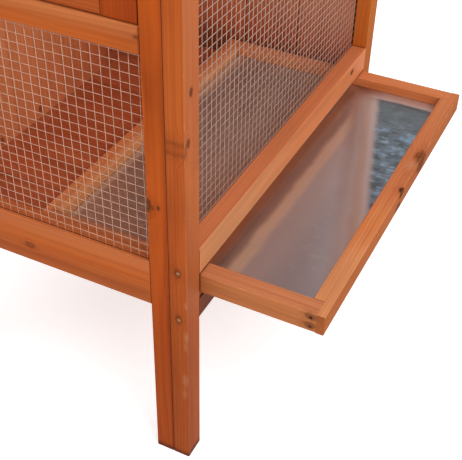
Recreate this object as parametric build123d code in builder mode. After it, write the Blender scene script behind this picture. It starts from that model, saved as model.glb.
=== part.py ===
from build123d import *

import os
from collections import namedtuple
from math import atan, atan2, cos, degrees, radians, sin

# A free-standing timber aviary on four two-piece legs. The front has a fixed mesh panel with a mesh
# door above it, the right side is mesh with a slot for a sliding litter tray, the left side and the
# back are boarded, and a felted roof falls towards the back. Millimetres, +Z up, +Y towards the back.

os.makedirs("parts", exist_ok=True)

Screw = namedtuple("Screw", "radius head_radius length")

# Cabinet
width = 460.0
depth = 665.0
front_height = 1440.0
roof_fall = 60.0

# Frame timber
timber = 25.0
front_stile_w = 27.0
side_stile_w = 34.0
edge_radius = 1.5

# Levels of the front and back panels
leg_clear = 280.0
front_rail_h = 70.0
lower_mesh_h = 282.0
mid_rail_h = 32.0
front_top_h = 60.0
back_top_h = 50.0

# Levels of the side panels
floor_rise = 14.0
bottom_rail_h = 32.0
tray_rail_h = 40.0
side_mid_h = 40.0
perch_level = 870.0

# Boards of the walls, the floor and the roof
board_t = 10.0
board_w = 98.0
board_gap = 0.6
board_groove = 1.5
board_end_gap = 2.0
panel_gap = 1.0
floor_setback = 2.0

# Tray, standing out of its slot by tray_out
tray_out = 169.0
tray_h = 30.0
tray_bar_w = 26.0
tray_lap = 15.0
tray_end_play = 4.0
tray_side_play = 1.0
tray_floor_play = 0.3
tray_head_play = 1.7
sheet_t = 0.8
sheet_drop = 16.0
sheet_hold = 5.0

# Wire nets, drawn coarser than the real wires
net_t = 1.2
net_wire = 2.0
front_net_pitch = 20.0
side_net_pitch = 46.0
door_net_pitch = 25.0
net_set_back = 5.2
net_hold = 5.0
net_overlap = 13.0
groove_play = 0.4
groove_end_play = 1.0

# Door
door_t = 20.0
door_recess = 3.0
door_gap = 2.5
door_sill_gap = 1.2
door_stile_w = 45.0
door_bottom_h = 60.0
door_top_h = 45.0

# Door hinges
hinge_len = 54.0
hinge_inset = 90.0
hinge_stand = 0.5
knuckle_r = 3.0
knuckle_gap = 0.3
leaf_play = 0.3
leaf_w = 16.0
pin_r = 1.5
pin_play = 0.05
pin_head_r = 2.4
pin_head_h = 1.2

# Door knob and turn button
knob_r = 14.0
knob_neck_r = 8.0
knob_neck_len = 8.0
knob_len = 24.0
button_len = 60.0
button_w = 18.0
button_t = 8.0
button_play = 0.3
button_rise = 120.0
button_screw_head_h = 2.4

# Perches
perch_r = 7.0
perch_play = 0.3
perch_spacing = 220.0
holder_t = 18.0
holder_w = 34.0
holder_h = 40.0

# Roof
roof_overhang = 45.0
roof_board_t = 10.0
felt_t = 2.0
trim_t = 12.0
trim_h = 34.0
trim_lip = 2.0

# Screws and nails
frame_screw = Screw(radius=1.9, head_radius=3.6, length=70.0)
corner_screw = Screw(radius=1.9, head_radius=3.6, length=44.0)
hinge_screw = Screw(radius=1.2, head_radius=2.2, length=14.0)
door_screw = Screw(radius=1.9, head_radius=3.6, length=80.0)
knob_screw_size = Screw(radius=1.9, head_radius=3.6, length=34.0)
button_screw_size = Screw(radius=2.0, head_radius=4.5, length=26.0)
tray_nail = Screw(radius=1.2, head_radius=2.6, length=58.0)
screw_play = 0.15
countersink = 90.0
hinge_screw_spread = 15.0

# Faces and levels that follow from the driving dimensions. The origin is on the ground, in the middle
# of everything, with the tray standing out to the right.
middle_x = (roof_overhang - tray_out) / 2
left = middle_x - width / 2
right = middle_x + width / 2
front = -depth / 2
back = depth / 2
left_inner = left + timber
right_inner = right - timber
front_inner = front + timber
back_inner = back - timber
opening_left = left_inner + front_stile_w
opening_right = right_inner - front_stile_w
bay_front = front + side_stile_w
bay_back = back - side_stile_w

front_rail_top = leg_clear + front_rail_h
mid_rail_z = front_rail_top + lower_mesh_h
mid_rail_top = mid_rail_z + mid_rail_h
front_top_z = front_height - front_top_h
back_height = front_height - roof_fall
side_top_z = back_height - back_top_h

floor_top = leg_clear + floor_rise
bottom_rail_top = floor_top - board_t
bottom_rail_z = bottom_rail_top - bottom_rail_h
tray_z = floor_top + tray_floor_play
tray_top = tray_z + tray_h
tray_rail_z = tray_top + tray_head_play
tray_rail_top = tray_rail_z + tray_rail_h
side_mid_z = perch_level - side_mid_h / 2

wall_left = left_inner + board_t
wall_back = back_inner - board_t
net_right = right_inner - net_t
roof_angle = degrees(atan(roof_fall / depth))


def middle(limits):
    """The middle of a pair of limits."""
    return (limits[0] + limits[1]) / 2


def span(limits):
    """The distance between a pair of limits."""
    return limits[1] - limits[0]


def roof_z(y):
    """Height of the underside of the roof boards at a distance from front to back."""
    return front_height - roof_fall * (y - front) / depth


def dome(rim, crown):
    """A point half way round a domed head, part of a ball, from its rim to its crown on the axis."""
    rise = rim[1] - crown
    ball = (rim[0] ** 2 + rise**2) / (2 * rise)
    half = atan2(rim[0], ball - rise) / 2
    return (ball * sin(half), crown + ball * (1 - cos(half)))


def keep(piece, label):
    """Names a finished piece and writes it."""
    piece.part.label = label
    export_step(piece.part, f"parts/{label}.step")


def block(x, y, z, mode=Mode.ADD):
    """A box between a pair of limits on each axis, in the piece that is being made."""
    with Locations((middle(x), middle(y), middle(z))):
        Box(span(x), span(y), span(z), mode=mode)


def bore(places, screw):
    """Countersunk clearance holes for screws, in the piece that is being made."""
    if places:
        with Locations(*places):
            CounterSinkHole(
                radius=screw.radius + screw_play,
                counter_sink_radius=screw.head_radius + screw_play,
                depth=screw.length + screw_play,
                counter_sink_angle=countersink,
            )


def place(point, outward):
    """Where a screw's head lies and which way it faces."""
    return Plane(origin=point, z_dir=outward).location


def rail(x, y, z, along, bores=(), grooves=()):
    """A sawn timber with eased long edges, screw holes and saw grooves."""
    with BuildPart() as stick:
        with BuildSketch(Plane.XY.offset(z[0])):
            with Locations((middle(x), middle(y))):
                Rectangle(span(x), span(y))
        extrude(amount=span(z))
        fillet(stick.edges().filter_by(along), radius=edge_radius)
        for places, screw in bores:
            bore(places, screw)
        for groove in grooves:
            block(*groove, mode=Mode.SUBTRACT)
    return stick


def roofed_timber(x, y, low, along, bores=(), grooves=()):
    """A timber whose top end or edge is cut to the slope of the roof."""
    with BuildPart() as stick:
        with BuildSketch(Plane.YZ.offset(x[0])):
            with BuildLine():
                Polyline((y[0], low), (y[1], low), (y[1], roof_z(y[1])), (y[0], roof_z(y[0])), close=True)
            make_face()
        extrude(amount=span(x))
        fillet(stick.edges().filter_by(along), radius=edge_radius)
        for places, screw in bores:
            bore(places, screw)
        for groove in grooves:
            block(*groove, mode=Mode.SUBTRACT)
    return stick


def net(plane, outer, opening, pitch):
    """A flat wire net: one sheet with a gap between each pair of wires."""
    columns = max(1, round(opening[0] / pitch))
    rows = max(1, round(opening[1] / pitch))
    step_x = opening[0] / columns
    step_y = opening[1] / rows
    with BuildPart() as sheet:
        with BuildSketch(plane):
            Rectangle(*outer)
            with GridLocations(step_x, step_y, columns, rows):
                Rectangle(step_x - net_wire, step_y - net_wire, mode=Mode.SUBTRACT)
        extrude(amount=net_t)
    return sheet


def screws(places, screw):
    """A group of equal countersunk screws."""
    with BuildPart() as single:
        with BuildSketch(Plane.XZ):
            with BuildLine():
                Polyline(
                    (0, 0),
                    (screw.head_radius, 0),
                    (screw.radius, screw.radius - screw.head_radius),
                    (screw.radius, -screw.length),
                    (0, -screw.length),
                    close=True,
                )
            make_face()
        revolve(axis=Axis.Z)
    with BuildPart() as group:
        with Locations(*places):
            add(single.part)
    return group


# Screw places. Side rails are held by long screws through the stiles' front and back edges.
side_x = {"right": (right_inner, right), "left": (left, left_inner)}
side_levels = {
    "right": {
        "bottom": middle((bottom_rail_z, bottom_rail_top)),
        "tray": middle((tray_rail_z, tray_rail_top)),
        "mid": perch_level,
        "top": side_top_z + back_top_h / 2,
    },
    "left": {
        "bottom": middle((bottom_rail_z, bottom_rail_top)),
        "mid": perch_level,
        "top": side_top_z + back_top_h / 2,
    },
}
side_front_places = {}
side_back_places = {}
for side, levels in side_levels.items():
    x = middle(side_x[side])
    for name, z in levels.items():
        side_front_places[side, name] = place((x, front, z), (0, -1, 0))
        side_back_places[side, name] = place((x, back, z), (0, 1, 0))

# Rails of the front and back panels are held by the same screws through the stiles' outer edges.
panel_y = {"front": (front, front_inner), "back": (back_inner, back)}
panel_levels = {
    "front": {
        "bottom_low": leg_clear + front_rail_h / 4,
        "bottom_high": leg_clear + 3 * front_rail_h / 4,
        "mid": middle((mid_rail_z, mid_rail_top)),
        "top": front_top_z + front_top_h / 2,
    },
    "back": {
        "bottom_low": leg_clear + front_rail_h / 4,
        "bottom_high": leg_clear + 3 * front_rail_h / 4,
        "top": side_top_z + back_top_h / 2,
    },
}
panel_right_places = {}
panel_left_places = {}
for panel, levels in panel_levels.items():
    y = middle(panel_y[panel])
    for name, z in levels.items():
        panel_right_places[panel, name] = place((right_inner, y, z), (1, 0, 0))
        panel_left_places[panel, name] = place((left_inner, y, z), (-1, 0, 0))

# Shorter screws join each front or back stile to the side stile beside it.
corner_levels = (
    middle((front_rail_top, mid_rail_z)),
    middle((perch_level, side_top_z)),
    side_top_z - back_top_h,
)
corner_places = {}
for panel, limits in panel_y.items():
    y = middle(limits)
    corner_places[panel, "right"] = [place((opening_right, y, z), (-1, 0, 0)) for z in corner_levels]
    corner_places[panel, "left"] = [place((opening_left, y, z), (1, 0, 0)) for z in corner_levels]

# Front panel. Its mesh stands in a saw groove of the stiles and rails, close behind their face.
net_y = front + net_set_back
groove_depth = net_hold + groove_end_play
groove_y = (net_y - groove_play / 2, net_y + net_t + groove_play / 2)
groove_z = (front_rail_top - groove_depth, mid_rail_z + groove_depth)
button_x = middle((opening_right, right_inner))
button_z = middle((mid_rail_top, front_top_z)) + button_rise
button_place = place((button_x, front, button_z), (0, -1, 0))
button_grip = button_screw_size.length - button_t - 2 * button_play
button_pilot = Screw(button_screw_size.radius, button_screw_size.radius, button_grip)
door_low = mid_rail_top + door_sill_gap
door_high = front_top_z - door_gap
hinge_levels = {"upper": door_high - hinge_inset, "lower": door_low + hinge_inset}
leaf_t = (door_gap - leaf_play) / 2
leaf_y = (front - hinge_stand + knuckle_gap, front + leaf_w)
hinge_screw_y = middle((front + door_recess, leaf_y[1]))


def hinge_screw_places(x, outward):
    """Where the screws of both hinges lie on one side of the door gap."""
    points = []
    for level in hinge_levels.values():
        for rise in (-hinge_screw_spread, hinge_screw_spread):
            points.append(place((x, hinge_screw_y, level + rise), outward))
    return points


frame_hinge_places = hinge_screw_places(opening_left + leaf_t, (1, 0, 0))
door_hinge_places = hinge_screw_places(opening_left + door_gap - leaf_t, (-1, 0, 0))

front_stile_right = roofed_timber(
    (opening_right, right_inner),
    (front, front_inner),
    0,
    Axis.Z,
    bores=[
        ([panel_right_places["front", name] for name in panel_levels["front"]], frame_screw),
        (corner_places["front", "right"], corner_screw),
        ([button_place], button_pilot),
    ],
    grooves=[((opening_right, opening_right + groove_depth), groove_y, groove_z)],
)
keep(front_stile_right, "front_stile_right")

front_stile_left = roofed_timber(
    (left_inner, opening_left),
    (front, front_inner),
    0,
    Axis.Z,
    bores=[
        ([panel_left_places["front", name] for name in panel_levels["front"]], frame_screw),
        (corner_places["front", "left"], corner_screw),
        (frame_hinge_places, hinge_screw),
    ],
    grooves=[((opening_left - groove_depth, opening_left), groove_y, groove_z)],
)
keep(front_stile_left, "front_stile_left")

front_x = (opening_left, opening_right)
bottom_names = ("bottom_low", "bottom_high")
front_bottom_rail = rail(
    front_x,
    (front, front_inner),
    (leg_clear, front_rail_top),
    Axis.X,
    bores=[
        ([panel_right_places["front", name] for name in bottom_names], frame_screw),
        ([panel_left_places["front", name] for name in bottom_names], frame_screw),
    ],
    grooves=[(front_x, groove_y, (groove_z[0], front_rail_top))],
)
keep(front_bottom_rail, "front_bottom_rail")

front_mid_rail = rail(
    front_x,
    (front, front_inner),
    (mid_rail_z, mid_rail_top),
    Axis.X,
    bores=[([panel_right_places["front", "mid"], panel_left_places["front", "mid"]], frame_screw)],
    grooves=[(front_x, groove_y, (mid_rail_z, groove_z[1]))],
)
keep(front_mid_rail, "front_mid_rail")

front_top_rail = roofed_timber(
    front_x,
    (front, front_inner),
    front_top_z,
    Axis.X,
    bores=[([panel_right_places["front", "top"], panel_left_places["front", "top"]], frame_screw)],
)
keep(front_top_rail, "front_top_rail")

front_mesh = net(
    Plane(
        origin=(middle(front_x), net_y + net_t, middle((front_rail_top, mid_rail_z))),
        x_dir=(1, 0, 0),
        z_dir=(0, -1, 0),
    ),
    (span(front_x) + 2 * net_hold, lower_mesh_h + 2 * net_hold),
    (span(front_x), lower_mesh_h),
    front_net_pitch,
)
keep(front_mesh, "front_mesh")

# Side panels. Both have stiles, a bottom rail that carries the floor, a mid rail and a top rail.
bay_y = (bay_front, bay_back)
side_rail_z = {
    "bottom": (bottom_rail_z, bottom_rail_top),
    "tray": (tray_rail_z, tray_rail_top),
    "mid": (side_mid_z, side_mid_z + side_mid_h),
}
for side, levels in side_levels.items():
    x = side_x[side]
    front_stile = roofed_timber(
        x,
        (front, bay_front),
        0,
        Axis.Z,
        bores=[
            ([side_front_places[side, name] for name in levels], frame_screw),
            (corner_places["front", side], corner_screw),
        ],
    )
    keep(front_stile, f"{side}_front_stile")
    back_stile = roofed_timber(
        x,
        (bay_back, back),
        0,
        Axis.Z,
        bores=[
            ([side_back_places[side, name] for name in levels], frame_screw),
            (corner_places["back", side], corner_screw),
        ],
    )
    keep(back_stile, f"{side}_back_stile")
    for name in levels:
        ends = [side_front_places[side, name], side_back_places[side, name]]
        if name == "top":
            side_rail = roofed_timber(x, bay_y, side_top_z, Axis.Y, bores=[(ends, frame_screw)])
        else:
            side_rail = rail(x, bay_y, side_rail_z[name], Axis.Y, bores=[(ends, frame_screw)])
        keep(side_rail, f"{side}_{name}_rail")

# The right side's mesh lies on the inner faces of its stiles and rails.
right_mesh = net(
    Plane(
        origin=(net_right, middle(bay_y), middle((tray_rail_top, side_top_z))),
        x_dir=(0, 1, 0),
        z_dir=(1, 0, 0),
    ),
    (back_inner - front_inner - 2 * panel_gap, side_top_z - tray_rail_top + 2 * net_overlap),
    (span(bay_y), side_top_z - tray_rail_top),
    side_net_pitch,
)
keep(right_mesh, "right_mesh")

# Back panel
for side, x, places in (
    ("right", (opening_right, right_inner), panel_right_places),
    ("left", (left_inner, opening_left), panel_left_places),
):
    back_stile = roofed_timber(
        x,
        (back_inner, back),
        0,
        Axis.Z,
        bores=[
            ([places["back", name] for name in panel_levels["back"]], frame_screw),
            (corner_places["back", side], corner_screw),
        ],
    )
    keep(back_stile, f"back_stile_{side}")

back_bottom_rail = rail(
    front_x,
    (back_inner, back),
    (leg_clear, front_rail_top),
    Axis.X,
    bores=[
        ([panel_right_places["back", name] for name in bottom_names], frame_screw),
        ([panel_left_places["back", name] for name in bottom_names], frame_screw),
    ],
)
keep(back_bottom_rail, "back_bottom_rail")

back_top_rail = roofed_timber(
    front_x,
    (back_inner, back),
    side_top_z,
    Axis.X,
    bores=[([panel_right_places["back", "top"], panel_left_places["back", "top"]], frame_screw)],
)
keep(back_top_rail, "back_top_rail")


def board_limits(limits):
    """Shares a wall, floor or roof out among boards of about the stock width, with a gap between them."""
    count = max(1, round(span(limits) / board_w))
    step = span(limits) / count
    return [
        (limits[0] + step * i + board_gap / 2, limits[0] + step * (i + 1) - board_gap / 2)
        for i in range(count)
    ]


# Wall boards stand on the inner side of the frames, with grooved joints.
with BuildPart() as left_boards:
    for y in board_limits((front_inner + panel_gap, back_inner - panel_gap)):
        block((left_inner, wall_left), y, (floor_top, roof_z(y[1]) - board_end_gap))
    chamfer(left_boards.edges().filter_by(Axis.Z), board_groove)
keep(left_boards, "left_boards")

with BuildPart() as back_boards:
    for x in board_limits((wall_left + panel_gap, net_right - panel_gap)):
        block(x, (wall_back, back_inner), (floor_top, roof_z(back_inner) - board_end_gap))
    chamfer(back_boards.edges().filter_by(Axis.Z), board_groove)
keep(back_boards, "back_boards")

# Floor boards lie across the two bottom side rails.
with BuildPart() as floor_boards:
    for y in board_limits(bay_y):
        block((left + floor_setback, right - floor_setback), y, (bottom_rail_top, floor_top))
    chamfer(floor_boards.edges().filter_by(Axis.X), board_groove)
keep(floor_boards, "floor_boards")

# Tray: outer and inner bars run the full width, the front and back bars are let into rebates in their
# ends, and the sheet lies in a groove of all four.
tray_right = right + tray_out
tray_left = tray_right - (right - wall_left - tray_end_play)
tray_front = bay_front + tray_side_play
tray_back = bay_back - tray_side_play
tray_y = (tray_front, tray_back)
tray_levels = (tray_z, tray_top)
outer_x = (tray_right - tray_bar_w, tray_right)
inner_x = (tray_left, tray_left + tray_bar_w)
clear_x = (inner_x[1], outer_x[0])
lapped_x = (clear_x[0] - tray_lap, clear_x[1] + tray_lap)
front_bar_y = (tray_front, tray_front + tray_bar_w)
back_bar_y = (tray_back - tray_bar_w, tray_back)
sheet_top = tray_top - sheet_drop
sheet_groove_z = (sheet_top - sheet_t - groove_play / 2, sheet_top + groove_play / 2)
sheet_groove_depth = sheet_hold + groove_end_play
sheet_groove_x = (clear_x[0] - sheet_groove_depth, clear_x[1] + sheet_groove_depth)
sheet_groove_y = (front_bar_y[1] - sheet_groove_depth, back_bar_y[0] + sheet_groove_depth)


def tray_nail_places(x):
    """Where the nails of both laps of an outer or inner bar lie."""
    points = []
    for z in (tray_z + tray_h / 4, tray_z + 3 * tray_h / 4):
        points.append(place((x, tray_front, z), (0, -1, 0)))
        points.append(place((x, tray_back, z), (0, 1, 0)))
    return points


outer_lap_x = (clear_x[1], lapped_x[1])
inner_lap_x = (lapped_x[0], clear_x[0])
outer_nail_places = tray_nail_places(middle(outer_lap_x))
inner_nail_places = tray_nail_places(middle(inner_lap_x))

tray_outer_bar = rail(
    outer_x,
    tray_y,
    tray_levels,
    Axis.Y,
    bores=[(outer_nail_places, tray_nail)],
    grooves=[
        (outer_lap_x, front_bar_y, tray_levels),
        (outer_lap_x, back_bar_y, tray_levels),
        ((clear_x[1], sheet_groove_x[1]), sheet_groove_y, sheet_groove_z),
    ],
)
keep(tray_outer_bar, "tray_outer_bar")

tray_inner_bar = rail(
    inner_x,
    tray_y,
    tray_levels,
    Axis.Y,
    bores=[(inner_nail_places, tray_nail)],
    grooves=[
        (inner_lap_x, front_bar_y, tray_levels),
        (inner_lap_x, back_bar_y, tray_levels),
        ((sheet_groove_x[0], clear_x[0]), sheet_groove_y, sheet_groove_z),
    ],
)
keep(tray_inner_bar, "tray_inner_bar")

for name, y, groove_limits in (
    ("front", front_bar_y, (sheet_groove_y[0], front_bar_y[1])),
    ("back", back_bar_y, (back_bar_y[0], sheet_groove_y[1])),
):
    tray_bar = rail(
        lapped_x,
        y,
        tray_levels,
        Axis.X,
        bores=[(outer_nail_places + inner_nail_places, tray_nail)],
        grooves=[(sheet_groove_x, groove_limits, sheet_groove_z)],
    )
    keep(tray_bar, f"tray_{name}_bar")

with BuildPart() as tray_sheet:
    block(
        (clear_x[0] - sheet_hold, clear_x[1] + sheet_hold),
        (front_bar_y[1] - sheet_hold, back_bar_y[0] + sheet_hold),
        (sheet_top - sheet_t, sheet_top),
    )
keep(tray_sheet, "tray_sheet")

keep(screws(outer_nail_places + inner_nail_places, tray_nail), "tray_nails")

# Door, set a little behind the front face
door_x = (opening_left + door_gap, opening_right - door_gap)
door_y = (front + door_recess, front + door_recess + door_t)
door_left_x = (door_x[0], door_x[0] + door_stile_w)
door_right_x = (door_x[1] - door_stile_w, door_x[1])
door_rail_x = (door_left_x[1], door_right_x[0])
door_bottom_z = (door_low, door_low + door_bottom_h)
door_top_z = (door_high - door_top_h, door_high)
door_screw_left = [
    place((door_x[0], middle(door_y), middle(z)), (-1, 0, 0)) for z in (door_bottom_z, door_top_z)
]
door_screw_right = [
    place((door_x[1], middle(door_y), middle(z)), (1, 0, 0)) for z in (door_bottom_z, door_top_z)
]
knob_x = middle(door_right_x)
knob_z = middle((mid_rail_top, front_top_z))
knob_place = place((knob_x, door_y[1], knob_z), (0, 1, 0))

door_stile_left = rail(
    door_left_x,
    door_y,
    (door_low, door_high),
    Axis.Z,
    bores=[(door_screw_left, door_screw), (door_hinge_places, hinge_screw)],
)
keep(door_stile_left, "door_stile_left")

door_stile_right = rail(
    door_right_x,
    door_y,
    (door_low, door_high),
    Axis.Z,
    bores=[(door_screw_right, door_screw), ([knob_place], knob_screw_size)],
)
keep(door_stile_right, "door_stile_right")

for index, (name, z) in enumerate((("bottom", door_bottom_z), ("top", door_top_z))):
    ends = [door_screw_left[index], door_screw_right[index]]
    keep(rail(door_rail_x, door_y, z, Axis.X, bores=[(ends, door_screw)]), f"door_{name}_rail")

keep(screws(door_screw_left + door_screw_right, door_screw), "door_screws")

# The door's mesh lies on the inner face of its frame.
door_mesh_h = door_top_z[0] - door_bottom_z[1]
door_mesh = net(
    Plane(
        origin=(middle(door_rail_x), door_y[1] + net_t, middle((door_bottom_z[1], door_top_z[0]))),
        x_dir=(1, 0, 0),
        z_dir=(0, -1, 0),
    ),
    (span(door_rail_x) + 2 * net_overlap, door_mesh_h + 2 * net_overlap),
    (span(door_rail_x), door_mesh_h),
    door_net_pitch,
)
keep(door_mesh, "door_mesh")

knob_rim = (knob_r, -2 * knob_neck_len)
with BuildPart() as door_knob:
    with BuildSketch(Plane(origin=(knob_x, door_y[0], knob_z))):
        with BuildLine():
            Polyline((0, -knob_len), (0, 0), (knob_neck_r, 0), (knob_neck_r, -knob_neck_len))
            Line((knob_neck_r, -knob_neck_len), knob_rim)
            ThreePointArc(knob_rim, dome(knob_rim, -knob_len), (0, -knob_len))
        make_face()
    revolve(axis=Axis((knob_x, door_y[0], knob_z), (0, 1, 0)))
    bore([knob_place], knob_screw_size)
keep(door_knob, "door_knob")

keep(screws([knob_place], knob_screw_size), "knob_screw")

# Hinges: one leaf on the frame, one on the door, and a pin through their knuckles
pin_x = opening_left + door_gap / 2
pin_y = front - hinge_stand - knuckle_r
frame_leaf_x = (opening_left, opening_left + leaf_t)
door_leaf_x = (opening_left + door_gap - leaf_t, opening_left + door_gap)


def hinge_leaf(level, x, knuckles, places):
    """A hinge leaf with its knuckles, each given as limits above the hinge's middle."""
    with BuildPart() as leaf:
        block(x, leaf_y, (level - hinge_len / 2, level + hinge_len / 2))
        for low, high in knuckles:
            block(x, (pin_y, leaf_y[0]), (level + low, level + high))
            with Locations((pin_x, pin_y, level + middle((low, high)))):
                Cylinder(knuckle_r, high - low)
        with Locations((pin_x, pin_y, level)):
            Cylinder(pin_r + pin_play, hinge_len, mode=Mode.SUBTRACT)
        bore(places, hinge_screw)
    return leaf


third = hinge_len / 3
frame_knuckles = ((-hinge_len / 2, -third / 2), (third / 2, hinge_len / 2))
door_knuckles = ((knuckle_gap - third / 2, third / 2 - knuckle_gap),)
for name, level in hinge_levels.items():
    keep(hinge_leaf(level, frame_leaf_x, frame_knuckles, frame_hinge_places), f"hinge_frame_leaf_{name}")
    keep(hinge_leaf(level, door_leaf_x, door_knuckles, door_hinge_places), f"hinge_door_leaf_{name}")
    with BuildPart() as hinge_pin:
        with Locations((pin_x, pin_y, level)):
            Cylinder(pin_r, hinge_len)
        for end, side in ((hinge_len / 2, 1), (-hinge_len / 2, -1)):
            with Locations((pin_x, pin_y, level + end + side * pin_head_h / 2)):
                Cylinder(pin_head_r, pin_head_h)
    keep(hinge_pin, f"hinge_pin_{name}")

keep(screws(frame_hinge_places, hinge_screw), "hinge_frame_screws")
keep(screws(door_hinge_places, hinge_screw), "hinge_door_screws")

# Turn button, upright at rest so that the door is free
button_face = front - button_play
with BuildPart() as turn_button:
    with BuildSketch(Plane(origin=(button_x, button_face, button_z), x_dir=(1, 0, 0), z_dir=(0, -1, 0))):
        SlotOverall(button_len, button_w, rotation=90)
        Circle(button_screw_size.radius + pin_play, mode=Mode.SUBTRACT)
    extrude(amount=button_t)
    fillet(turn_button.faces().sort_by(Axis.Y)[0].outer_wire().edges(), radius=edge_radius)
keep(turn_button, "turn_button")

screw_y = button_face - button_t - button_play
with BuildPart() as button_screw:
    with BuildSketch(Plane(origin=(button_x, screw_y, button_z))):
        with BuildLine():
            Polyline(
                (0, -button_screw_head_h),
                (0, button_screw_size.length),
                (button_screw_size.radius, button_screw_size.length),
                (button_screw_size.radius, 0),
                (button_screw_size.head_radius, 0),
            )
            ThreePointArc(
                (button_screw_size.head_radius, 0),
                dome((button_screw_size.head_radius, 0), -button_screw_head_h),
                (0, -button_screw_head_h),
            )
        make_face()
    revolve(axis=Axis((button_x, screw_y, button_z), (0, 1, 0)))
keep(button_screw, "button_screw")

# Perches lie in notched holders on the left wall and on the right mid rail.
perch_ys = (-perch_spacing / 2, perch_spacing / 2)
perch_x = (wall_left + panel_gap, net_right - panel_gap)
for name, y in zip(("front", "back"), perch_ys):
    with BuildPart() as perch:
        with BuildSketch(Plane.YZ.offset(perch_x[0])):
            with Locations((y, perch_level)):
                Circle(perch_r)
        extrude(amount=span(perch_x))
    keep(perch, f"perch_{name}")

with BuildPart() as perch_holders:
    for x in (wall_left, net_right - holder_t):
        with BuildSketch(Plane.YZ.offset(x)):
            for y in perch_ys:
                with Locations((y, perch_level)):
                    Rectangle(holder_w, holder_h)
                    Circle(perch_r + perch_play, mode=Mode.SUBTRACT)
                with Locations((y, perch_level + holder_h / 4)):
                    Rectangle(2 * (perch_r + perch_play), holder_h / 2, mode=Mode.SUBTRACT)
        extrude(amount=holder_t)
keep(perch_holders, "perch_holders")

# Roof: boards across the slope, felt on top and a trim round the edge
roof_plane = Plane(
    origin=(middle_x, 0, roof_z(0)),
    x_dir=(1, 0, 0),
    z_dir=(0, sin(radians(roof_angle)), cos(radians(roof_angle))),
)
deck_x = width + 2 * (roof_overhang - trim_t)
deck_y = depth / cos(radians(roof_angle)) + 2 * (roof_overhang - trim_t)

with BuildPart() as roof_boards:
    with BuildSketch(roof_plane):
        for y in board_limits((-deck_y / 2, deck_y / 2)):
            with Locations((0, middle(y))):
                Rectangle(deck_x, span(y))
    extrude(amount=roof_board_t)
keep(roof_boards, "roof_boards")

with BuildPart() as roof_felt:
    with BuildSketch(roof_plane.offset(roof_board_t)):
        Rectangle(deck_x, deck_y)
    extrude(amount=felt_t)
keep(roof_felt, "roof_felt")

trim_plane = roof_plane.offset(roof_board_t + felt_t + trim_lip - trim_h)
for name, point, size in (
    ("front", (0, -(deck_y + trim_t) / 2), (deck_x + 2 * trim_t, trim_t)),
    ("back", (0, (deck_y + trim_t) / 2), (deck_x + 2 * trim_t, trim_t)),
    ("left", (-(deck_x + trim_t) / 2, 0), (trim_t, deck_y)),
    ("right", ((deck_x + trim_t) / 2, 0), (trim_t, deck_y)),
):
    with BuildPart() as roof_trim:
        with BuildSketch(trim_plane):
            with Locations(point):
                Rectangle(*size)
        extrude(amount=trim_h)
    keep(roof_trim, f"roof_trim_{name}")

# Screws of the frame
frame_places = [
    *side_front_places.values(),
    *side_back_places.values(),
    *panel_right_places.values(),
    *panel_left_places.values(),
]
keep(screws(frame_places, frame_screw), "frame_screws")

corner_screw_places = [spot for spots in corner_places.values() for spot in spots]
keep(screws(corner_screw_places, corner_screw), "corner_screws")
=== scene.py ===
import math
import random
from collections import namedtuple

import bmesh
import bpy
from mathutils import Matrix, Vector
from mathutils.geometry import tessellate_polygon


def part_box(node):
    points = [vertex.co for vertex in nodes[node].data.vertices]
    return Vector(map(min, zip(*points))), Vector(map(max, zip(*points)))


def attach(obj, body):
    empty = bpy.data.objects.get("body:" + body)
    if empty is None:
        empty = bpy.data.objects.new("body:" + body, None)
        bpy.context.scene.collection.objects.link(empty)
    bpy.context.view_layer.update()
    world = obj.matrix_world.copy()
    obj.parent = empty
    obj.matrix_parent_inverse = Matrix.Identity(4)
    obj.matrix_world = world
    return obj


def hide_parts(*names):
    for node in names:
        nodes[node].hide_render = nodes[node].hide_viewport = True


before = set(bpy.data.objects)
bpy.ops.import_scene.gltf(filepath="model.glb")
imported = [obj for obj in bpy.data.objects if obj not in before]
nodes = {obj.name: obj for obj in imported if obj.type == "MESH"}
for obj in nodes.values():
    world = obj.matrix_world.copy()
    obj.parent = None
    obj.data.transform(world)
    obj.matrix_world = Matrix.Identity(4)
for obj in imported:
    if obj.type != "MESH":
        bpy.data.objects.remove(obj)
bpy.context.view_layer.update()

# The looks of a timber aviary: stained fir with grain and knots, welded wire nets, screws, staples and
# nails, a galvanised tray and a felted roof. Metres, in the frame of the construction.

X, Y, Z = range(3)
WHITE = (1, 1, 1, 1)

# Faces that carry marks, and the seam between the leg's two timbers
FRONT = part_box("front_stile_right")[0].y
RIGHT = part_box("right_front_stile")[1].x
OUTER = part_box("tray_outer_bar")[1].x
LEG_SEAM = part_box("right_front_stile")[0].x

# Camera, at the photograph's viewing angle
IMAGE_WIDTH_PX = 462
FOCAL_PX = 912.52
SENSOR_MM = 36.0
CAMERA_PLACE = Vector((0.57156, -1.05571, 1.08237))
CAMERA_AZIMUTH = math.radians(25.533)
CAMERA_ELEVATION = math.radians(38.623)
CAMERA_ROLL = math.radians(-1.464)

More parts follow.
